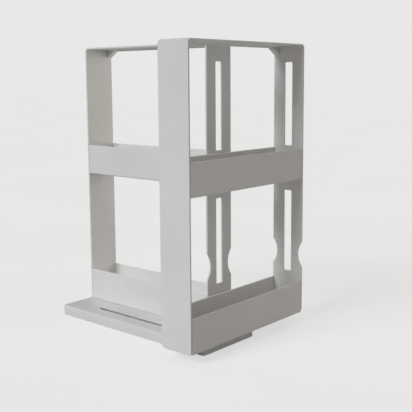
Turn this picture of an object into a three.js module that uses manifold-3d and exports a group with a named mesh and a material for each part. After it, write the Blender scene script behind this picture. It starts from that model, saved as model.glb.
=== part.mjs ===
// Two-rack pull-out swivel organiser: a long base tray with two guide slots, and two narrow
// two-tier racks that ride on pins in those slots. Millimetres, +Z up, front (user side) is -Y.
import * as THREE from 'three'
import { mergeVertices } from 'three/addons/utils/BufferGeometryUtils.js'
import Module from 'manifold-3d'

const wasm = await Module()
wasm.setup()

// ---------- driving dimensions ----------
const GAP = 0.3                    // running gap between touching pieces

// base tray
const BASE_W = 98.5
const BASE_L = 267
const BASE_TOP = 14.3
const SKIRT_BOTTOM = 1.0
const BASE_CORNER_R = 5
const BASE_PLATE = 2.4
const BASE_WALL = 2.2
const SLOT_X = 25.5                // distance of each guide slot from the centre line
const SLOT_W = 6
const SLOT_FRONT = -128
const SLOT_REAR = 81
const CHANNEL_W = 17               // pocket under the plate that guides the slider shoe
const FOOT_R = 5
const FOOT_H = 1.8
const FEET = {
  front_left: [-41.6, -118],
  front_right: [41.6, -118],
  rear_left: [-41.6, 118],
  rear_right: [41.6, 118],
  centre: [0, 0]
}

// rack
const RACK_Z = 14.8                // lowest edge of a rack above the shelf
const RACK_H = 361.4
const RACK_T = 47
const RACK_L = 226.5
const PIN_FROM_END = 61            // pin axis to the outer face of the solid end
const PANEL = 2.4                  // end panel thickness
const PANEL_CORNER_R = 5
const BAND_WALL = 2.0
const TRAY_FLOOR = 2.2
const FLOOR_UP = 2.0               // lower tray's floor above its skirt, room for the turn ring
const LOWER_BAND_H = 43.4
const MIDDLE_BAND_Z = 183.4
const MIDDLE_BAND_H = 41
const TOP_PLATE = 2.4
const TOP_LIP_H = 1.9              // back lip below the top plate
const GUSSET_LENGTH = 17
const GUSSET_DROP = 10.6
const GUSSET_WIDTH = 8

// openings in the slotted end panel
const GRIP_SLOT_W = 12
const GRIP_SLOTS = [[54.9, 166.4], [227.4, 338.4]]
const NOTCH_Z = 80.4
const NOTCH_R = 26.1
const NOTCH_DEPTH = 6.5

// pivot hardware
const PIN_R = 2.5
const PIN_HOLE_R = 2.8
const PIN_HEAD_R = 6
const PIN_HEAD_H = 2
const TURN_RING_R = 10.5
const SHOE_L = 16
const SHOE_BOTTOM = 7.4
const WASHER_R = 6
const WASHER_H = 1.2
const GLIDE_PAD_R = 5
const GLIDE_PADS = { rear: -45, front: 130 }

// where each rack stands: the left one pulled out and turned across the front, the right one stored
const LEFT_PIN_Y = -123
const RIGHT_PIN_Y = 69.5

// ---------- materials ----------
const whitePlastic = () => new THREE.MeshStandardMaterial({ color: 0xe4e5e6, roughness: 0.42, metalness: 0 })
const greyNylon = () => new THREE.MeshStandardMaterial({ color: 0xc9cac8, roughness: 0.5, metalness: 0 })
const darkRubber = () => new THREE.MeshStandardMaterial({ color: 0x3a3b3c, roughness: 0.85, metalness: 0 })
const zincSteel = () => new THREE.MeshStandardMaterial({ color: 0xa9abad, roughness: 0.32, metalness: 1 })

// ---------- shape helpers ----------
function solid (geometry) {
  const bare = geometry.clone()
  bare.deleteAttribute('normal')
  bare.deleteAttribute('uv')
  const merged = mergeVertices(bare, 1e-4)
  const mesh = new wasm.Mesh({
    numProp: 3,
    vertProperties: new Float32Array(merged.attributes.position.array),
    triVerts: new Uint32Array(merged.index.array)
  })
  return new wasm.Manifold(mesh)
}

function toGeometry (manifold) {
  const mesh = manifold.getMesh()
  const geometry = new THREE.BufferGeometry()
  geometry.setAttribute('position', new THREE.BufferAttribute(mesh.vertProperties.slice(), 3))
  geometry.setIndex(new THREE.BufferAttribute(mesh.triVerts.slice(), 1))
  geometry.computeVertexNormals()
  return geometry
}

function roundedRect (x0, y0, x1, y1, r) {
  const s = new THREE.Shape()
  s.moveTo(x0 + r, y0)
  s.lineTo(x1 - r, y0)
  s.absarc(x1 - r, y0 + r, r, -Math.PI / 2, 0, false)
  s.lineTo(x1, y1 - r)
  s.absarc(x1 - r, y1 - r, r, 0, Math.PI / 2, false)
  s.lineTo(x0 + r, y1)
  s.absarc(x0 + r, y1 - r, r, Math.PI / 2, Math.PI, false)
  s.lineTo(x0, y0 + r)
  s.absarc(x0 + r, y0 + r, r, Math.PI, Math.PI * 1.5, false)
  return s
}

function polygon (points) {
  return new THREE.Shape(points.map(([x, y]) => new THREE.Vector2(x, y)))
}

// a plan outline raised from z0 to z1
function raised (shape, z0, z1, segments = 8) {
  const g = new THREE.ExtrudeGeometry(shape, { depth: z1 - z0, bevelEnabled: false, curveSegments: segments })
  g.translate(0, 0, z0)
  return g
}

// an outline drawn in (across, up), run along the rack from u0 to u1
function along (shape, u0, u1, segments = 8) {
  const g = new THREE.ExtrudeGeometry(shape, { depth: u1 - u0, bevelEnabled: false, curveSegments: segments })
  const toRack = new THREE.Matrix4().makeBasis(
    new THREE.Vector3(0, 1, 0), new THREE.Vector3(0, 0, 1), new THREE.Vector3(1, 0, 0))
  g.applyMatrix4(toRack)
  g.translate(u0, 0, 0)
  return g
}

function cylinder (r, z0, z1, x = 0, y = 0, sides = 32) {
  const g = new THREE.CylinderGeometry(r, r, z1 - z0, sides)
  g.rotateX(Math.PI / 2)
  g.translate(x, y, (z0 + z1) / 2)
  return g
}

function box (x0, x1, y0, y1, z0, z1) {
  const g = new THREE.BoxGeometry(x1 - x0, y1 - y0, z1 - z0)
  g.translate((x0 + x1) / 2, (y0 + y1) / 2, (z0 + z1) / 2)
  return g
}

function cut (body, ...tools) {
  return tools.reduce((left, tool) => left.subtract(solid(tool)), body)
}

function join (body, ...extras) {
  return extras.reduce((sum, extra) => sum.add(solid(extra)), body)
}

function piece (name, geometry, material, parent) {
  const mesh = new THREE.Mesh(geometry, material)
  mesh.name = name
  parent.add(mesh)
  return mesh
}

// ---------- base tray ----------
function baseTray () {
  const w = BASE_W / 2
  const l = BASE_L / 2
  const roof = BASE_TOP - BASE_PLATE
  const below = SKIRT_BOTTOM - 1
  let body = solid(raised(roundedRect(-w, -l, w, l, BASE_CORNER_R), SKIRT_BOTTOM, BASE_TOP, 12))

  const channelIn = SLOT_X - CHANNEL_W / 2
  const channelOut = SLOT_X + CHANNEL_W / 2
  const inner = w - BASE_WALL
  for (const side of [-1, 1]) {
    const pocket = (x0, x1, y0, y1, r) => {
      const [a, b] = side < 0 ? [-x1, -x0] : [x0, x1]
      return raised(roundedRect(a, y0, b, y1, r), below, roof, 6)
    }
    body = cut(body,
      pocket(channelIn, channelOut, SLOT_FRONT - 4, SLOT_REAR + 8, 2),
      pocket(channelOut + BASE_WALL, inner, -l + BASE_WALL, l - BASE_WALL, 5),
      pocket(BASE_WALL / 2, channelIn - BASE_WALL, -l + BASE_WALL, l - BASE_WALL, 2),
      pocket(channelIn, channelOut, SLOT_REAR + 8 + BASE_WALL, l - BASE_WALL, 2),
      raised(roundedRect(side * SLOT_X - SLOT_W / 2, SLOT_FRONT, side * SLOT_X + SLOT_W / 2, SLOT_REAR,
        SLOT_W / 2 - 0.01), below, BASE_TOP + 1, 8))
  }
  body = cut(body, cylinder(FOOT_R + 1.4, below, FOOT_H + GAP, ...FEET.centre, 24))
  for (const [x, y] of Object.values(FEET)) {
    body = join(body, cylinder(FOOT_R + 1, FOOT_H + GAP, roof + 0.5, x, y, 24))
  }
  return toGeometry(body)
}

// ---------- rack pieces, drawn about the pin axis with the slotted end towards +X ----------
const SOLID_END = -PIN_FROM_END
const SLOTTED_END = RACK_L - PIN_FROM_END
const INSIDE_START = SOLID_END + PANEL + GAP
const INSIDE_END = SLOTTED_END - PANEL - GAP
const HALF_T = RACK_T / 2

function panelOutline () {
  return roundedRect(-HALF_T, 0, HALF_T, RACK_H, PANEL_CORNER_R)
}

function solidEndPanel () {
  return toGeometry(solid(along(panelOutline(), SOLID_END, SOLID_END + PANEL)))
}

function slottedEndPanel () {
  const u0 = SLOTTED_END - PANEL
  let body = solid(along(panelOutline(), u0, SLOTTED_END))
  for (const [z0, z1] of GRIP_SLOTS) {
    const slot = roundedRect(-GRIP_SLOT_W / 2, z0, GRIP_SLOT_W / 2, z1, 1.2)
    body = cut(body, along(slot, u0 - 1, SLOTTED_END + 1, 3))
  }
  for (const side of [-1, 1]) {
    const notch = new THREE.Shape()
    notch.absarc(side * (HALF_T + NOTCH_R - NOTCH_DEPTH), NOTCH_Z, NOTCH_R, 0, Math.PI * 2, false)
    body = cut(body, along(notch, u0 - 1, SLOTTED_END + 1, 40))
  }
  return toGeometry(body)
}

// a shallow trough: a floor between a front and a back band, which may reach below it as a skirt
function trough (z0, height, skirt) {
  const t = HALF_T
  const w = BAND_WALL
  const f0 = z0 + skirt
  const f1 = f0 + TRAY_FLOOR
  const top = z0 + height
  const under = skirt > 0 ? [[-t + w, z0], [-t + w, f0], [t - w, f0], [t - w, z0]] : []
  return along(polygon([
    [-t, z0], ...under, [t, z0], [t, top], [t - w, top], [t - w, f1], [-t + w, f1], [-t + w, top], [-t, top]
  ]), INSIDE_START, INSIDE_END)
}

function lowerTray () {
  const tray = solid(trough(0, LOWER_BAND_H, FLOOR_UP))
  return toGeometry(cut(tray, cylinder(PIN_HOLE_R, 0, FLOOR_UP + TRAY_FLOOR + 1)))
}

function middleTray () {
  return toGeometry(solid(trough(MIDDLE_BAND_Z, MIDDLE_BAND_H, 0)))
}

function topPanel () {
  const z1 = RACK_H
  const z0 = z1 - TOP_PLATE
  const t = HALF_T
  const section = polygon([
    [-t, z0], [t - BAND_WALL, z0], [t - BAND_WALL, z0 - TOP_LIP_H], [t, z0 - TOP_LIP_H], [t, z1], [-t, z1]
  ])
  const gusset = (end, inward) => {
    const g = new THREE.ExtrudeGeometry(
      polygon([
        [end, z0 - GUSSET_DROP], [end + inward * GUSSET_LENGTH, z0],
        [end + inward * GUSSET_LENGTH, z0 + 1], [end, z0 + 1]
      ]),
      { depth: GUSSET_WIDTH, bevelEnabled: false })
    g.rotateX(Math.PI / 2)
    g.translate(0, t, 0)
    return g
  }
  return toGeometry(join(solid(along(section, INSIDE_START, INSIDE_END)),
    gusset(INSIDE_START, 1), gusset(INSIDE_END, -1)))
}

function lathe (profile, segments = 32) {
  const g = new THREE.LatheGeometry(profile.map(([r, z]) => new THREE.Vector2(r, z)), segments)
  g.rotateX(Math.PI / 2)
  return toGeometry(solid(g))
}

function pivotPin () {
  const under = SHOE_BOTTOM - GAP - WASHER_H - GAP - RACK_Z
  const seat = FLOOR_UP + TRAY_FLOOR + GAP
  return lathe([
    [0, under - 1.8], [PIN_R + 0.8, under - 1.8], [PIN_R + 1.4, under - 1.2], [PIN_R + 1.4, under],
    [PIN_R, under], [PIN_R, seat], [PIN_HEAD_R, seat], [PIN_HEAD_R, seat + PIN_HEAD_H - 0.6],
    [PIN_HEAD_R - 0.6, seat + PIN_HEAD_H], [0, seat + PIN_HEAD_H]
  ])
}

function ring (outer, inner, z0, z1) {
  return toGeometry(cut(solid(cylinder(outer, z0, z1, 0, 0, 40)), cylinder(inner, z0 - 1, z1 + 1)))
}

function sliderShoe () {
  const roof = BASE_TOP - BASE_PLATE - GAP
  const half = CHANNEL_W / 2 - GAP - 0.4
  const body = solid(raised(roundedRect(-half, -SHOE_L / 2, half, SHOE_L / 2, 3), SHOE_BOTTOM, roof))
  return toGeometry(cut(body, cylinder(PIN_HOLE_R, SHOE_BOTTOM - 1, roof + 1)))
}

// ---------- assembly ----------
const group = new THREE.Group()
piece('base_tray', baseTray(), whitePlastic(), group)
for (const [where, [x, y]] of Object.entries(FEET)) {
  const foot = piece(`${where}_foot`, toGeometry(solid(cylinder(FOOT_R, 0, FOOT_H, 0, 0, 24))),
    darkRubber(), group)
  foot.position.set(x, y, 0)
}

function addRack (side, x, y, turn) {
  const under = new THREE.Group()
  under.position.set(x, y, 0)
  group.add(under)
  piece(`${side}_slider_shoe`, sliderShoe(), greyNylon(), under)
  piece(`${side}_retaining_washer`,
    ring(WASHER_R, PIN_HOLE_R, SHOE_BOTTOM - GAP - WASHER_H, SHOE_BOTTOM - GAP), zincSteel(), under)

  const rack = new THREE.Group()
  rack.position.set(x, y, RACK_Z)
  rack.rotation.z = turn
  group.add(rack)
  piece(`${side}_solid_end_panel`, solidEndPanel(), whitePlastic(), rack)
  piece(`${side}_slotted_end_panel`, slottedEndPanel(), whitePlastic(), rack)
  piece(`${side}_lower_tray`, lowerTray(), whitePlastic(), rack)
  piece(`${side}_middle_tray`, middleTray(), whitePlastic(), rack)
  piece(`${side}_top_panel`, topPanel(), whitePlastic(), rack)
  piece(`${side}_pivot_pin`, pivotPin(), zincSteel(), rack)
  const runningFace = BASE_TOP + GAP - RACK_Z
  const trayFace = FLOOR_UP - GAP
  piece(`${side}_turn_ring`, ring(TURN_RING_R, PIN_HOLE_R, runningFace, trayFace), greyNylon(), rack)
  for (const [where, u] of Object.entries(GLIDE_PADS)) {
    const pad = piece(`${side}_${where}_glide_pad`,
      toGeometry(solid(cylinder(GLIDE_PAD_R, runningFace, trayFace, 0, 0, 24))), greyNylon(), rack)
    pad.position.set(u, 0, 0)
  }
}

addRack('left', -SLOT_X, LEFT_PIN_Y, 0)
addRack('right', SLOT_X, RIGHT_PIN_Y, -Math.PI / 2)

export default group
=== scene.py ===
"""White two-rack pull-out swivel organiser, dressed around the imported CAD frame. Metres, +Z up, front -Y."""
import math

import bmesh
import bpy
from mathutils import Matrix, Vector


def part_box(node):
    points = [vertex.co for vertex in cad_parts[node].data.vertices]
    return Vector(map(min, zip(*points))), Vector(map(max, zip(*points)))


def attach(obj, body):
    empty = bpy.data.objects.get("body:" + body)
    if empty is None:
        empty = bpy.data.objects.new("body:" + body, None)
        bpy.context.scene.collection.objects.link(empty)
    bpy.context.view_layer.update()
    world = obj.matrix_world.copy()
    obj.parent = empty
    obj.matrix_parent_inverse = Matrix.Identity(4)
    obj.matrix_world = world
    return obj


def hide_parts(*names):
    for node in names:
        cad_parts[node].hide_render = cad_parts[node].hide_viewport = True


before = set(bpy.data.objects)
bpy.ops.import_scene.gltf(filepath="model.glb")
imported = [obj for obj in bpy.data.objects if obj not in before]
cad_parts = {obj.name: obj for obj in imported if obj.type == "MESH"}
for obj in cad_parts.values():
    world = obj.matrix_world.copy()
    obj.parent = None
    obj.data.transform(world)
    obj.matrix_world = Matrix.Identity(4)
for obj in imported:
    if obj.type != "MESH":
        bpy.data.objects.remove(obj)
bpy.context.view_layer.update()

MM = 0.001
scene = bpy.context.scene

# ---------------------------------------------------------------- camera
CAMERA_AT = Vector((-0.71412, -0.71939, 0.33015))
CAMERA_YAW = math.radians(48.871)      # from +Y towards +X
CAMERA_PITCH = math.radians(7.809)     # downwards
CAMERA_ROLL = math.radians(-0.397)
LENS = 67.061                          # focal length in mm
SENSOR_WIDTH = 36
SHIFT = (0.0, -0.05)                   # small, so that other views keep the whole object in frame


def make_camera():
    """The camera, turned by yaw and pitch and then rolled about its own line of sight."""
    forward = Vector((
        math.sin(CAMERA_YAW) * math.cos(CAMERA_PITCH),
        math.cos(CAMERA_YAW) * math.cos(CAMERA_PITCH),
        -math.sin(CAMERA_PITCH),
    ))
    level_right = Vector((math.cos(CAMERA_YAW), -math.sin(CAMERA_YAW), 0))
    level_up = level_right.cross(forward)
    c, s = math.cos(CAMERA_ROLL), math.sin(CAMERA_ROLL)
    right = level_right * c + level_up * s
    up = level_up * c - level_right * s
    data = bpy.data.cameras.new("photo_camera")
    data.sensor_width = SENSOR_WIDTH
    data.lens = LENS
    data.shift_x, data.shift_y = SHIFT
    data.clip_start = 0.01
    camera = bpy.data.objects.new("photo_camera", data)
    rotation = Matrix((right, up, -forward)).transposed().to_4x4()
    camera.matrix_world = Matrix.Translation(CAMERA_AT) @ rotation
    scene.collection.objects.link(camera)
    scene.camera = camera


# ---------------------------------------------------------------- materials
def new_material(name):
    material = bpy.data.materials.new(name)
    material.use_nodes = True
    nodes = material.node_tree.nodes
    return material, nodes, material.node_tree.links, nodes["Principled BSDF"]


def noise(nodes, links, scale, detail=2.0, rough=0.5):
    where = nodes.new("ShaderNodeTexCoord")
    texture = nodes.new("ShaderNodeTexNoise")
    texture.inputs["Scale"].default_value = scale
    texture.inputs["Detail"].default_value = detail
    texture.inputs["Roughness"].default_value = rough
    links.new(where.outputs["Object"], texture.inputs["Vector"])
    return texture


def ramp(nodes, links, source, low, high, start=0.35, end=0.65):
    node = nodes.new("ShaderNodeValToRGB")
    node.color_ramp.elements[0].position = start
    node.color_ramp.elements[1].position = end
    node.color_ramp.elements[0].color = low
    node.color_ramp.elements[1].color = high
    links.new(source, node.inputs["Fac"])
    return node


def grey(value):
    return (value, value, value, 1.0)


def bump_from(nodes, links, shader, height, strength, distance):
    node = nodes.new("ShaderNodeBump")
    node.inputs["Strength"].default_value = strength
    node.inputs["Distance"].default_value = distance
    links.new(height, node.inputs["Height"])
    links.new(node.outputs["Normal"], shader.inputs["Normal"])


def moulded_plastic(name, low, high, rough_low, rough_high):
    """Satin injection-moulded plastic: faint flow clouds, fine spark-eroded grain, uneven gloss."""
    material, nodes, links, shader = new_material(name)
    clouds = noise(nodes, links, 9.0, 3.0, 0.55)
    tint = ramp(nodes, links, clouds.outputs["Fac"], low, high)
    links.new(tint.outputs["Color"], shader.inputs["Base Color"])
    wear = noise(nodes, links, 38.0, 4.0, 0.6)
    gloss = ramp(nodes, links, wear.outputs["Fac"], grey(rough_low), grey(rough_high))
    links.new(gloss.outputs["Color"], shader.inputs["Roughness"])
    grain = noise(nodes, links, 1500.0, 2.0, 0.5)
    bump_from(nodes, links, shader, grain.outputs["Fac"], 0.16, 0.00012)
    shader.inputs["IOR"].default_value = 1.46
    shader.inputs["Specular IOR Level"].default_value = 0.42
    return material


def rubber():
    material, nodes, links, shader = new_material("foot_rubber")
    dust = noise(nodes, links, 120.0, 4.0, 0.6)
    tint = ramp(nodes, links, dust.outputs["Fac"], (0.028, 0.028, 0.029, 1), (0.055, 0.054, 0.053, 1))
    links.new(tint.outputs["Color"], shader.inputs["Base Color"])
    grain = noise(nodes, links, 2600.0, 2.0)
    bump_from(nodes, links, shader, grain.outputs["Fac"], 0.4, 0.0002)
    shader.inputs["Roughness"].default_value = 0.82
    return material


def zinc_steel():
    material, nodes, links, shader = new_material("pivot_steel")
    blotch = noise(nodes, links, 420.0, 3.0, 0.6)
    tint = ramp(nodes, links, blotch.outputs["Fac"], (0.46, 0.47, 0.48, 1), (0.62, 0.62, 0.62, 1))
    links.new(tint.outputs["Color"], shader.inputs["Base Color"])
    gloss = ramp(nodes, links, blotch.outputs["Fac"], grey(0.26), grey(0.42))
    links.new(gloss.outputs["Color"], shader.inputs["Roughness"])
    turned = noise(nodes, links, 3200.0, 1.0)
    bump_from(nodes, links, shader, turned.outputs["Fac"], 0.2, 0.00008)
    shader.inputs["Metallic"].default_value = 1.0
    return material


WHITE = moulded_plastic("white_plastic", (0.745, 0.745, 0.735, 1), (0.785, 0.785, 0.778, 1), 0.40, 0.52)
NYLON = moulded_plastic("glide_nylon", (0.56, 0.56, 0.54, 1), (0.62, 0.62, 0.60, 1), 0.34, 0.46)
RUBBER = rubber()
STEEL = zinc_steel()


# ---------------------------------------------------------------- outlines
def arc(cx, cy, r, start, end, steps):
    """Points from angle start to end, in degrees."""
    turn = math.radians(end - start) / steps
    first = math.radians(start)
    angles = [first + turn * i for i in range(steps + 1)]
    return [(cx + r * math.cos(angle), cy + r * math.sin(angle)) for angle in angles]


def rounded_rect(x0, y0, x1, y1, r, steps=8):
    """Counter-clockwise outline."""
    return (
        arc(x1 - r, y0 + r, r, -90, 0, steps)
        + arc(x1 - r, y1 - r, r, 0, 90, steps)
        + arc(x0 + r, y1 - r, r, 90, 180, steps)
        + arc(x0 + r, y0 + r, r, 180, 270, steps)
    )


SAME_POINT = 1e-6                  # metres
SHARPEST_MITRE = 0.3               # keeps a point at a tight corner from running away


def inset(loop, amount):
    """The outline moved towards the material, which lies on its left."""
    points = [Vector(p) for p in loop]
    moved = []
    for i, p in enumerate(points):
        a = (p - points[i - 1]).normalized()
        b = (points[(i + 1) % len(points)] - p).normalized()
        left_a, left_b = Vector((-a.y, a.x)), Vector((-b.y, b.x))
        middle = (left_a + left_b).normalized()
        moved.append(p + middle * (amount / max(SHARPEST_MITRE, middle.dot(left_a))))
    return moved


def clean(loop):
    """Drops points that fall on the one before."""
    kept = []
    for p in loop:
        if not kept or (Vector(p) - Vector(kept[-1])).length > SAME_POINT:
            kept.append(p)
    if (Vector(kept[0]) - Vector(kept[-1])).length <= SAME_POINT:
        kept.pop()
    return kept


ROUND_STEPS = 3


def rim_levels(z0, z1, round_low, round_high):
    """(inset, height) steps up a wall between z0 and z1, with rounded rims."""
    low = [(0, z0)]
    if round_low:
        turns = [math.pi / 2 * i / ROUND_STEPS for i in range(ROUND_STEPS + 1)]
        low = [(round_low * (1 - math.sin(t)), z0 + round_low * (1 - math.cos(t))) for t in turns]
    high = [(0, z1)]
    if round_high:
        turns = [math.pi / 2 * i / ROUND_STEPS for i in range(ROUND_STEPS, -1, -1)]
        high = [(round_high * (1 - math.sin(t)), z1 - round_high * (1 - math.cos(t))) for t in turns]
    return low + high


def wall(bm, outline, levels, place, hole=False):
    """A wall that follows an outline. Returns the edges of its lowest and highest rings."""
    loop = clean(outline)
    if hole:
        loop = loop[::-1]
    rings = [
        [bm.verts.new(place @ Vector((p[0], p[1], z))) for p in inset(loop, amount)]
        for amount, z in levels
    ]
    count = len(loop)
    for lower, upper in zip(rings, rings[1:]):
        for i in range(count):
            j = (i + 1) % count
            bm.faces.new((lower[i], lower[j], upper[j], upper[i]))
    return [
        [bm.edges.get((ring[i], ring[(i + 1) % count])) for i in range(count)]
        for ring in (rings[0], rings[-1])
    ]


def cap(bm, *rings):
    """Closes the flat area between rings of edges."""
    edges = [edge for ring in rings for edge in ring]
    bmesh.ops.triangle_fill(bm, use_beauty=True, use_dissolve=False, edges=edges)


def slab(bm, loops, z0, z1, round_low, round_high, place):
    """A plate between z0 and z1 with rounded rims. The first outline is the outside, the others are holes."""
    levels = rim_levels(z0, z1, round_low, round_high)
    rings = [wall(bm, outline, levels, place, hole=number > 0) for number, outline in enumerate(loops)]
    cap(bm, *[low for low, high in rings])
    cap(bm, *[high for low, high in rings])


SHARP = math.radians(48)           # edges that turn more than this stay crisp
FACE_AREA_WEIGHT = 100             # large faces decide the shading at a rounded edge


def finish_piece(bm, name, material, body, nodes):
    """Makes the object, shades it smooth but for its sharp edges, ties it to its body and hides the CAD nodes
    it stands in for.
    """
    bmesh.ops.recalc_face_normals(bm, faces=bm.faces)
    for face in bm.faces:
        face.smooth = True
    for edge in bm.edges:
        if len(edge.link_faces) == 2 and edge.calc_face_angle() > SHARP:
            edge.smooth = False
    mesh = bpy.data.meshes.new(name)
    bm.to_mesh(mesh)
    bm.free()
    mesh.materials.append(material)
    obj = bpy.data.objects.new(name, mesh)
    scene.collection.objects.link(obj)
    weighted = obj.modifiers.new("even_shading", "WEIGHTED_NORMAL")
    weighted.weight = FACE_AREA_WEIGHT
    weighted.keep_sharp = True
    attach(obj, body)
    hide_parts(*nodes)


# ---------------------------------------------------------------- rack pieces
EDGE = 0.55 * MM                   # rounding on an end panel's rims
TRIM_EDGE = 0.3 * MM               # rounding on the ends of trays, tops and webs
PANEL_CORNER = 5 * MM
GRIP_SLOT_HALF = 6 * MM
GRIP_SLOT_CORNER = 1.4 * MM
GRIP_SLOTS = ((54.9 * MM, 166.4 * MM), (227.4 * MM, 338.4 * MM))
NOTCH_Z = 80.4 * MM
NOTCH_R = 26.1 * MM
NOTCH_DEPTH = 6.5 * MM
NOTCH_SOFTEN = 2.2 * MM
WALL = 2.0 * MM
FLOOR = 2.2 * MM
FLOOR_UP = 2.0 * MM                # lower tray's floor above its skirt
TROUGH_FILLET = 2.4 * MM
TROUGH_CORNER = 1.6 * MM
SKIRT_FOOT = 0.3 * MM
GUSSET_LENGTH = 17 * MM
GUSSET_DROP = 10.6 * MM
GUSSET_WIDTH = 8 * MM
LIP_DROP = 1.9 * MM
TOP_PLATE = 2.4 * MM
TOP_ROUND = 0.9 * MM
LIP_ROUND = 0.5 * MM
LIP_STEP = 1.0 * MM                # how far before the lip the slope down to it starts
SINK = 0.4 * MM                    # how far a web, rib or boss reaches into the plate it stands on


class Rack:
    """Where one rack stands, read from its CAD nodes. u runs to the slotted end, v across, w up."""

    def __init__(self, side):
        self.side = side
        self.body = f"{side}_rack"
        pin_low, pin_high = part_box(f"{side}_pivot_pin")
        tray_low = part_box(f"{side}_lower_tray")[0]
        solid_low, solid_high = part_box(f"{side}_solid_end_panel")
        slotted_low, slotted_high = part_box(f"{side}_slotted_end_panel")
        pin = (pin_low + pin_high) / 2
        along = (slotted_low + slotted_high - solid_low - solid_high) / 2
        along.z = 0
        along.normalize()
        across = Vector((0, 0, 1)).cross(along)
        turn = Matrix((along, across, Vector((0, 0, 1)))).transposed().to_4x4()
        self.place = Matrix.Translation((pin.x, pin.y, tray_low.z)) @ turn
        self.back = self.place.inverted()
        self.middle_low, self.middle_high = self.span(f"{side}_middle_tray")
        self.lower_low, self.lower_high = self.span(f"{side}_lower_tray")
        self.solid_low, self.solid_high = self.span(f"{side}_solid_end_panel")
        self.slotted_low, self.slotted_high = self.span(f"{side}_slotted_end_panel")
        self.top_low, self.top_high = self.span(f"{side}_top_panel")

    def span(self, node):
        """A node's lowest and highest corners in (u, v, w)."""
        low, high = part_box(node)
        a, b = self.back @ low, self.back @ high
        return Vector(map(min, a, b)), Vector(map(max, a, b))


# drawing planes: the outline's x, y and the slab's thickness, as (u, v, w)
ACROSS = Matrix(((0, 0, 1, 0), (1, 0, 0, 0), (0, 1, 0, 0), (0, 0, 0, 1)))      # x = v, y = w, thickness = u
LENGTHWISE = Matrix(((1, 0, 0, 0), (0, 0, -1, 0), (0, 1, 0, 0), (0, 0, 0, 1)))  # x = u, y = w, thickness = -v


def panel_outline(low, high, notched):
    """An end panel seen along the rack, with or without the two finger notches."""
    v0, v1, w0, w1, r = low.y, high.y, low.z, high.z, PANEL_CORNER
    if not notched:
        return rounded_rect(v0, w0, v1, w1, r)
    notch_w = w0 + NOTCH_Z
    centre = v1 + NOTCH_R - NOTCH_DEPTH
    soft = NOTCH_SOFTEN
    # a small outward round where the notch meets the straight edge
    reach = math.sqrt((NOTCH_R + soft) ** 2 - (centre - (v1 - soft)) ** 2)
    lean = math.degrees(math.atan2(reach, centre - (v1 - soft)))
    right = (
        arc(v1 - soft, notch_w - reach, soft, 0, lean, 4)
        + arc(centre, notch_w, NOTCH_R, 180 + lean, 180 - lean, 18)
        + arc(v1 - soft, notch_w + reach, soft, -lean, 0, 4)
    )
    middle = v0 + v1
    left = [(middle - x, y) for x, y in reversed(right)]
    return (
        arc(v1 - r, w0 + r, r, -90, 0, 8) + right + arc(v1 - r, w1 - r, r, 0, 90, 8)
        + arc(v0 + r, w1 - r, r, 90, 180, 8) + left + arc(v0 + r, w0 + r, r, 180, 270, 8)
    )


def end_panels(rack):
    """The plain panel, and the one with two grip slots and two finger notches."""
    bm = bmesh.new()
    low, high = rack.solid_low, rack.solid_high
    slab(bm, [panel_outline(low, high, False)], low.x, high.x, EDGE, EDGE, rack.place @ ACROSS)
    finish_piece(bm, f"{rack.side}_rack_solid_end", WHITE, rack.body,
                 [f"{rack.side}_solid_end_panel"])

    bm = bmesh.new()
    low, high = rack.slotted_low, rack.slotted_high
    loops = [panel_outline(low, high, True)]
    for w0, w1 in GRIP_SLOTS:
        bottom, ceiling = low.z + w0, low.z + w1
        loops.append(rounded_rect(-GRIP_SLOT_HALF, bottom, GRIP_SLOT_HALF, ceiling, GRIP_SLOT_CORNER, 4))
    slab(bm, loops, low.x, high.x, EDGE, EDGE, rack.place @ ACROSS)
    finish_piece(bm, f"{rack.side}_rack_slotted_end", WHITE, rack.body,
                 [f"{rack.side}_slotted_end_panel"])


def trough_outline(low, high, skirt):
    """A trough's section: a fillet inside, a rounded rim on each band, and a skirt below the floor if any."""
    v0, v1, w0, w1 = low.y, high.y, low.z, high.z
    inner, rim, foot = TROUGH_FILLET, WALL / 2, SKIRT_FOOT
    under = w0 + skirt
    floor = under + FLOOR
    if skirt:
        bottom = (
            arc(v0 + WALL - foot, w0 + foot, foot, 270, 360, 3)
            + arc(v0 + WALL + foot, under - foot, foot, 180, 90, 3)
            + arc(v1 - WALL - foot, under - foot, foot, 90, 0, 3)
            + arc(v1 - WALL + foot, w0 + foot, foot, 180, 270, 3)
            + arc(v1 - foot, w0 + foot, foot, 270, 360, 3)
        )
        start = arc(v0 + foot, w0 + foot, foot, 180, 270, 3)
    else:
        outer = TROUGH_CORNER
        bottom = arc(v1 - outer, w0 + outer, outer, -90, 0, 5)
        start = arc(v0 + outer, w0 + outer, outer, 180, 270, 5)
    return (
        bottom
        + arc(v1 - rim, w1 - rim, rim, 0, 180, 8)
        + arc(v1 - WALL - inner, floor + inner, inner, 0, -90, 6)
        + arc(v0 + WALL + inner, floor + inner, inner, -90, -180, 6)
        + arc(v0 + rim, w1 - rim, rim, 0, 180, 8)
        + start
    )


def trays(rack):
    """The two troughs. The lower one's bands reach below its floor as a skirt."""
    for label, low, high, skirt in (
        ("lower", rack.lower_low, rack.lower_high, FLOOR_UP),
        ("middle", rack.middle_low, rack.middle_high, 0),
    ):
        bm = bmesh.new()
        slab(bm, [trough_outline(low, high, skirt)], low.x, high.x, TRIM_EDGE, TRIM_EDGE, rack.place @ ACROSS)
        finish_piece(bm, f"{rack.side}_rack_{label}_trough", WHITE, rack.body,
                     [f"{rack.side}_{label}_tray"])


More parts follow.
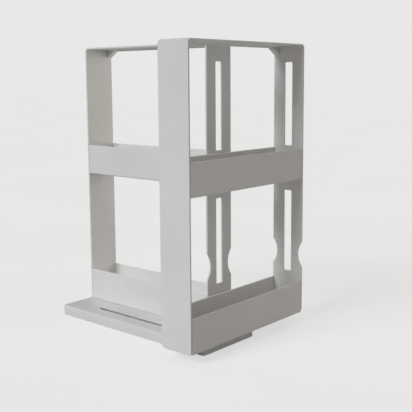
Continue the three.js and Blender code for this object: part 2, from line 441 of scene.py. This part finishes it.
def top(rack):
    """The top panel, with a small lip along its +v side and a web at each end of that side."""
    low, high = rack.top_low, rack.top_high
    w1 = high.z
    w0 = w1 - TOP_PLATE
    bm = bmesh.new()
    soft, small = TOP_ROUND, LIP_ROUND
    section = (
        arc(high.y - soft, w1 - soft, soft, 0, 90, 4)
        + arc(low.y + soft, w1 - soft, soft, 90, 180, 4)
        + arc(low.y + small, w0 + small, small, 180, 270, 3)
        + [(high.y - WALL - LIP_STEP, w0)]
        + arc(high.y - WALL + small, w0 - LIP_DROP + small, small, 180, 270, 3)
        + arc(high.y - small, w0 - LIP_DROP + small, small, 270, 360, 3)
    )
    slab(bm, [section], low.x, high.x, TRIM_EDGE, TRIM_EDGE, rack.place @ ACROSS)
    for end, inward in ((low.x, 1), (high.x, -1)):
        tip = end + inward * GUSSET_LENGTH
        web = [(end, w0 - GUSSET_DROP), (tip, w0), (tip, w0 + SINK), (end, w0 + SINK)]
        if inward < 0:
            web.reverse()
        slab(bm, [web], -high.y, -high.y + GUSSET_WIDTH, TRIM_EDGE, TRIM_EDGE, rack.place @ LENGTHWISE)
    finish_piece(bm, f"{rack.side}_rack_top", WHITE, rack.body, [f"{rack.side}_top_panel"])


# ---------------------------------------------------------------- base tray
BASE_CORNER = 5 * MM
BASE_PLATE = 2.4 * MM
BASE_WALL = 2.2 * MM
BASE_TOP_ROUND = 1.8 * MM
SLOT_HALF = 3 * MM
SLOT_FRONT = -128 * MM
SLOT_REAR = 81 * MM
CHANNEL_HALF = 8.5 * MM
CHANNEL_PAST_REAR = 8 * MM         # how far the shoe's channel runs on past the slot's ends
CHANNEL_PAST_FRONT = 4 * MM
CHANNEL_LIFT = 0.1 * MM            # keeps its lower rim just above the shell's
CHANNEL_CORNERS = (1.5 * MM, 2 * MM)    # outside, inside
RIB_CORNER = 0.5 * MM
RIM_ROUND = 0.4 * MM               # ribs, the cavity's rim and the slots' upper rims
SKIRT_RIM = 0.8 * MM               # the base's outer lower edge
SLOT_LEAD_IN = 1.7 * MM
RIB_END = 1 * MM                   # how far a rib stays inside the base's outline
SPINE_GAP = 7 * MM                 # half the break in the spine round the middle foot
BOSS_RADIUS = 6 * MM
FOOT_EDGE = 0.3 * MM
GRIP_RING_UP = 0.4 * MM            # how far the grip rings stand below a foot's disc
GRIP_RING_HEIGHT = 0.6 * MM        # a little of which is inside the disc
GRIP_RING_ROUND = 0.25 * MM
GRIP_RINGS = ((0.92, 0.66), (0.48, 0.24))    # outer and inner radius, as shares of the foot's
FEET = ["front_left_foot", "front_right_foot", "rear_left_foot", "rear_right_foot", "centre_foot"]
STILL = Matrix.Identity(4)         # pieces that are already drawn in place


def base_tray():
    """The long shell with its ribbed underside. The two guide slots are in line with the pivot pins."""
    low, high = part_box("base_tray")
    pin_low, pin_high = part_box("right_pivot_pin")
    slot_x = (pin_low.x + pin_high.x) / 2
    roof = high.z - BASE_PLATE
    wall_t = BASE_WALL
    bm = bmesh.new()

    # one closed shell: outside, hollow underside, and the two guide slots through the plate
    outside = rounded_rect(low.x, low.y, high.x, high.y, BASE_CORNER, 10)
    cavity = rounded_rect(low.x + wall_t, low.y + wall_t, high.x - wall_t, high.y - wall_t,
                          BASE_CORNER - wall_t, 6)
    outer_low, outer_high = wall(bm, outside, rim_levels(low.z, high.z, SKIRT_RIM, BASE_TOP_ROUND), STILL)
    cavity_low, cavity_high = wall(bm, cavity, rim_levels(low.z, roof, RIM_ROUND, 0), STILL, hole=True)
    slots_low, slots_high = [], []
    for x in (-slot_x, slot_x):
        slot = rounded_rect(x - SLOT_HALF, SLOT_FRONT, x + SLOT_HALF, SLOT_REAR, SLOT_HALF - 0.01 * MM, 8)
        below, above = wall(bm, slot, rim_levels(roof, high.z, SLOT_LEAD_IN, RIM_ROUND), STILL, hole=True)
        slots_low.append(below)
        slots_high.append(above)
    cap(bm, outer_low, cavity_low)
    cap(bm, cavity_high, *slots_low)
    cap(bm, outer_high, *slots_high)

    # ribs under the plate: the walls of each shoe's channel, and a spine that stops short of the middle foot
    def rib(x0, y0, x1, y1):
        slab(bm, [rounded_rect(x0, y0, x1, y1, RIB_CORNER, 3)], low.z, roof + SINK, RIM_ROUND, 0, STILL)

    channel_end = SLOT_REAR + CHANNEL_PAST_REAR
    for x in (-slot_x, slot_x):
        around = rounded_rect(x - CHANNEL_HALF - wall_t, low.y + RIB_END, x + CHANNEL_HALF + wall_t,
                              channel_end + wall_t, CHANNEL_CORNERS[0], 4)
        channel = rounded_rect(x - CHANNEL_HALF, SLOT_FRONT - CHANNEL_PAST_FRONT, x + CHANNEL_HALF,
                               channel_end, CHANNEL_CORNERS[1], 4)
        slab(bm, [around, channel], low.z + CHANNEL_LIFT, roof + SINK, RIM_ROUND, 0, STILL)
        for offset in (-CHANNEL_HALF - wall_t, CHANNEL_HALF):
            rib(x + offset, channel_end + RIB_END, x + offset + wall_t, high.y - RIB_END)
    rib(-wall_t / 2, low.y + RIB_END, wall_t / 2, -SPINE_GAP)
    rib(-wall_t / 2, SPINE_GAP, wall_t / 2, high.y - RIB_END)
    for foot in FEET:
        a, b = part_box(foot)
        centre = (a + b) / 2
        boss = arc(centre.x, centre.y, BOSS_RADIUS, 0, 360, 36)
        slab(bm, [boss], b.z + FOOT_EDGE, roof + SINK, FOOT_EDGE, 0, STILL)
    finish_piece(bm, "base_tray_shell", WHITE, "base", ["base_tray"])


def rubber_feet():
    """Each foot has a soft rim and two shallow grip rings moulded in its underside."""
    for foot in FEET:
        low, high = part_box(foot)
        centre = (low + high) / 2
        radius = (high.x - low.x) / 2
        bm = bmesh.new()
        disc = arc(centre.x, centre.y, radius, 0, 360, 40)
        slab(bm, [disc], low.z + GRIP_RING_UP, high.z, FOOT_EDGE, FOOT_EDGE, STILL)
        for outer, inner in GRIP_RINGS:
            ring = [arc(centre.x, centre.y, radius * k, 0, 360, 40) for k in (outer, inner)]
            slab(bm, ring, low.z, low.z + GRIP_RING_HEIGHT, GRIP_RING_ROUND, 0, STILL)
        finish_piece(bm, f"{foot}_pad", RUBBER, "base", [foot])


# ---------------------------------------------------------------- small pieces kept from the CAD
CAD_BEVEL = 0.22 * MM
CAD_BEVEL_FROM = math.radians(40)  # rounds only the edges that turn more than this


def dress_cad_nodes():
    """Gives the small CAD pieces their material and takes the hardness off their edges."""
    kept = {
        "slider_shoe": NYLON, "turn_ring": NYLON, "rear_glide_pad": NYLON, "front_glide_pad": NYLON,
        "pivot_pin": STEEL, "retaining_washer": STEEL,
    }
    for side in ("left", "right"):
        for label, material in kept.items():
            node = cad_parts[f"{side}_{label}"]
            node.data.materials.clear()
            node.data.materials.append(material)
            rounding = node.modifiers.new("soft_edge", "BEVEL")
            rounding.width = CAD_BEVEL
            rounding.segments = 2
            rounding.limit_method = "ANGLE"
            rounding.angle_limit = CAD_BEVEL_FROM
            rounding.harden_normals = True


# ---------------------------------------------------------------- stage
FLOOR_HALF = 14                    # metres
BOUNCE_DROP = 0.0004               # metres


def floor_sheet(name, height, base, glow):
    """A wide mottled sheet that may give off light of its own."""
    bm = bmesh.new()
    bmesh.ops.create_grid(bm, x_segments=1, y_segments=1, size=FLOOR_HALF)
    mesh = bpy.data.meshes.new(name)
    bm.to_mesh(mesh)
    bm.free()
    sheet = bpy.data.objects.new(name, mesh)
    sheet.location.z = height
    scene.collection.objects.link(sheet)
    material, nodes, links, shader = new_material(name)
    mottle = noise(nodes, links, 3.0, 2.0)
    tint = ramp(nodes, links, mottle.outputs["Fac"], grey(base - 0.01), grey(base + 0.01))
    links.new(tint.outputs["Color"], shader.inputs["Base Color"])
    shader.inputs["Roughness"].default_value = 0.9
    shader.inputs["Specular IOR Level"].default_value = 0.1
    shader.inputs["Emission Color"].default_value = (1, 1, 1, 1)
    shader.inputs["Emission Strength"].default_value = glow
    mesh.materials.append(material)
    return sheet


def make_stage():
    """A pale floor for the camera alone, and just under it one for light alone."""
    seen = floor_sheet("floor", 0, FLOOR_GREY, FLOOR_GLOW)
    seen.visible_diffuse = False
    seen.visible_glossy = False
    seen.visible_transmission = False
    seen.visible_shadow = False
    bounce = floor_sheet("floor_bounce", -BOUNCE_DROP, BOUNCE_GREY, 0)
    bounce.visible_camera = False
    return seen


# light that comes from each side of the room, as strength times colour
ROOM = {
    "+x": (0.39, 0.38, 0.37), "-x": (0.10, 0.09, 0.09),
    "+y": (0.14, 0.13, 0.13), "-y": (0.49, 0.47, 0.44),
    "+z": (0.29, 0.26, 0.23), "-z": (0.35, 0.35, 0.35),
}
BACKDROP = 0.806                   # close to the floor's own brightness, so that the horizon is faint
FLOOR_GREY = 0.30
FLOOR_GLOW = 0.615
BOUNCE_GREY = 0.45
KEY_FROM = (-2.9, 0.32, 1.95)
KEY_ANGLE = math.radians(26)
KEY_POWER = 1.950
KEY_COLOUR = (0.947, 0.975, 1.000)
FILL_AT = (0.60, -0.06, 0.34)
FILL_TOWARDS = (0.025, 0.125, 0.20)
FILL_SIZE = (0.20, 0.55)
FILL_POWER = 2.30
FILL_COLOUR = (1.0, 0.955, 0.88)


def make_world():
    """Plain pale backdrop to the camera. As light, each side of the room has its own strength and tint."""
    world = bpy.data.worlds.new("studio")
    world.use_nodes = True
    scene.world = world
    nodes, links = world.node_tree.nodes, world.node_tree.links
    nodes.clear()
    where = nodes.new("ShaderNodeTexCoord")
    split = nodes.new("ShaderNodeSeparateXYZ")
    links.new(where.outputs["Generated"], split.inputs["Vector"])
    total = None
    for axis in "xyz":
        square = nodes.new("ShaderNodeMath")
        square.operation = "MULTIPLY"
        links.new(split.outputs[axis.upper()], square.inputs[0])
        links.new(split.outputs[axis.upper()], square.inputs[1])
        side = nodes.new("ShaderNodeMath")
        side.operation = "GREATER_THAN"
        side.inputs[1].default_value = 0
        links.new(split.outputs[axis.upper()], side.inputs[0])
        tint = nodes.new("ShaderNodeMixRGB")
        tint.inputs["Color1"].default_value = (*ROOM["-" + axis], 1)
        tint.inputs["Color2"].default_value = (*ROOM["+" + axis], 1)
        links.new(side.outputs["Value"], tint.inputs["Fac"])
        scaled = nodes.new("ShaderNodeVectorMath")
        scaled.operation = "SCALE"
        links.new(tint.outputs["Color"], scaled.inputs[0])
        links.new(square.outputs["Value"], scaled.inputs["Scale"])
        if total:
            add = nodes.new("ShaderNodeVectorMath")
            links.new(total, add.inputs[0])
            links.new(scaled.outputs["Vector"], add.inputs[1])
            total = add.outputs["Vector"]
        else:
            total = scaled.outputs["Vector"]
    fill = nodes.new("ShaderNodeBackground")
    links.new(total, fill.inputs["Color"])
    seen = nodes.new("ShaderNodeBackground")
    seen.inputs["Color"].default_value = grey(BACKDROP)
    path = nodes.new("ShaderNodeLightPath")
    mix = nodes.new("ShaderNodeMixShader")
    output = nodes.new("ShaderNodeOutputWorld")
    links.new(path.outputs["Is Camera Ray"], mix.inputs["Fac"])
    links.new(fill.outputs["Background"], mix.inputs[1])
    links.new(seen.outputs["Background"], mix.inputs[2])
    links.new(mix.outputs["Shader"], output.inputs["Surface"])
    scene.view_settings.view_transform = "Standard"


def make_key():
    """One broad soft light from the left, a little behind."""
    data = bpy.data.lights.new("key", "SUN")
    data.energy = KEY_POWER
    data.color = KEY_COLOUR
    data.angle = KEY_ANGLE
    light = bpy.data.objects.new("key", data)
    light.rotation_euler = Vector(KEY_FROM).to_track_quat("Z", "Y").to_euler()
    scene.collection.objects.link(light)


def make_fill(floor):
    """A tall soft panel on the right, for the inside of the stored rack. The seen floor is left out of it."""
    data = bpy.data.lights.new("fill", "AREA")
    data.shape = "RECTANGLE"
    data.size, data.size_y = FILL_SIZE
    data.energy = FILL_POWER
    data.color = FILL_COLOUR
    light = bpy.data.objects.new("fill", data)
    light.location = FILL_AT
    away = Vector(FILL_AT) - Vector(FILL_TOWARDS)
    light.rotation_euler = away.to_track_quat("Z", "Y").to_euler()
    light.visible_camera = False
    scene.collection.objects.link(light)
    unlit = bpy.data.collections.new("outside_the_fill")
    unlit.objects.link(floor)
    unlit.collection_objects[0].light_linking.link_state = "EXCLUDE"
    light.light_linking.receiver_collection = unlit


make_camera()
for name in ("left", "right"):
    one = Rack(name)
    end_panels(one)
    trays(one)
    top(one)
base_tray()
rubber_feet()
dress_cad_nodes()
seen_floor = make_stage()
make_world()
make_key()
make_fill(seen_floor)
